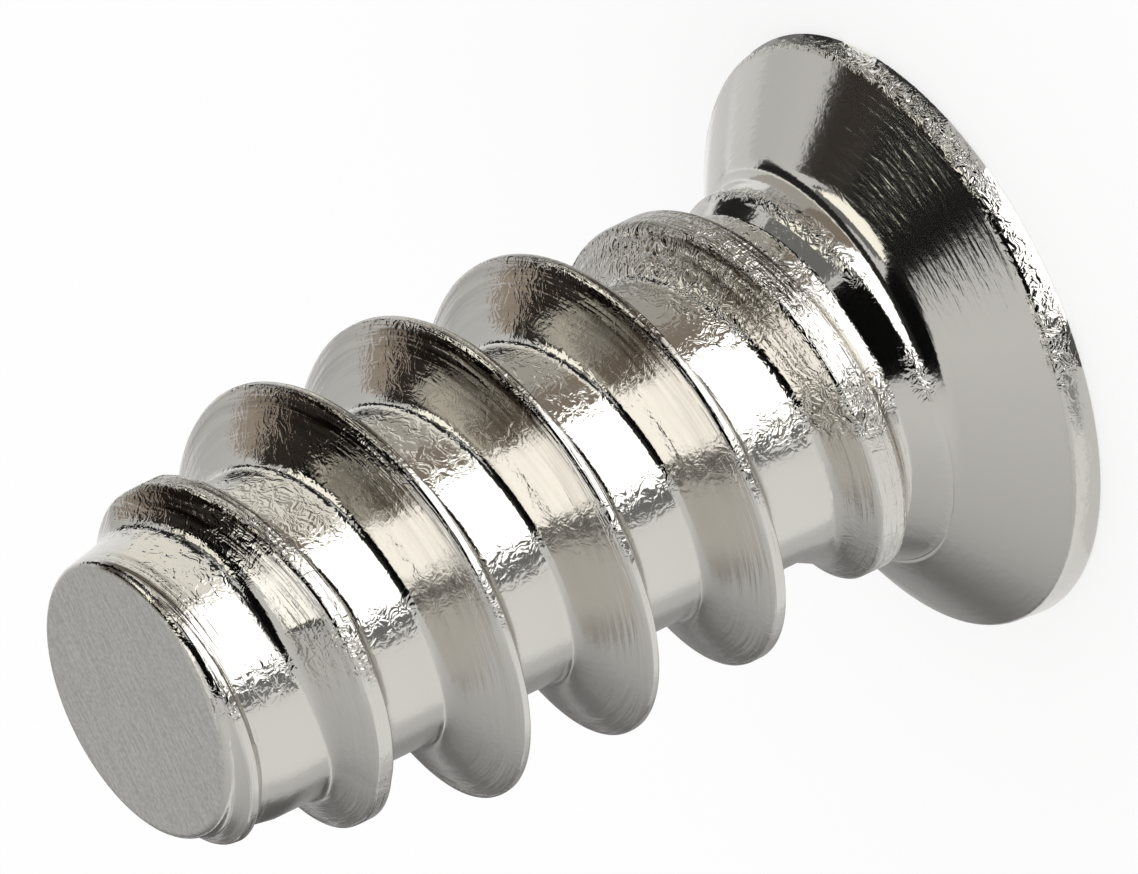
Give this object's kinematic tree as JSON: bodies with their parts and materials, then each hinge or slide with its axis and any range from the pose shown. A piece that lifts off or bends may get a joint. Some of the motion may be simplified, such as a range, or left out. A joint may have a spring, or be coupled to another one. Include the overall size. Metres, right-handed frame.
{
  "type": "case fan screw",
  "caption": "Short self-tapping screw with a flat countersunk head, a cross recess, a plain collar and a coarse sharp thread up to a blunt tip.",
  "frame": {"origin": "middle of the flat head face, on which the screw stands", "axes": "+Z along the screw's axis from the head to the tip; -Y is where the thread's start lies"},
  "size_m": [0.0066, 0.0066, 0.0099],
  "materials": {
    "nickel": "bright nickel plate on steel"
  },
  "bodies": {
    "root": {"screw": "nickel"}
  },
  "joints": []
}
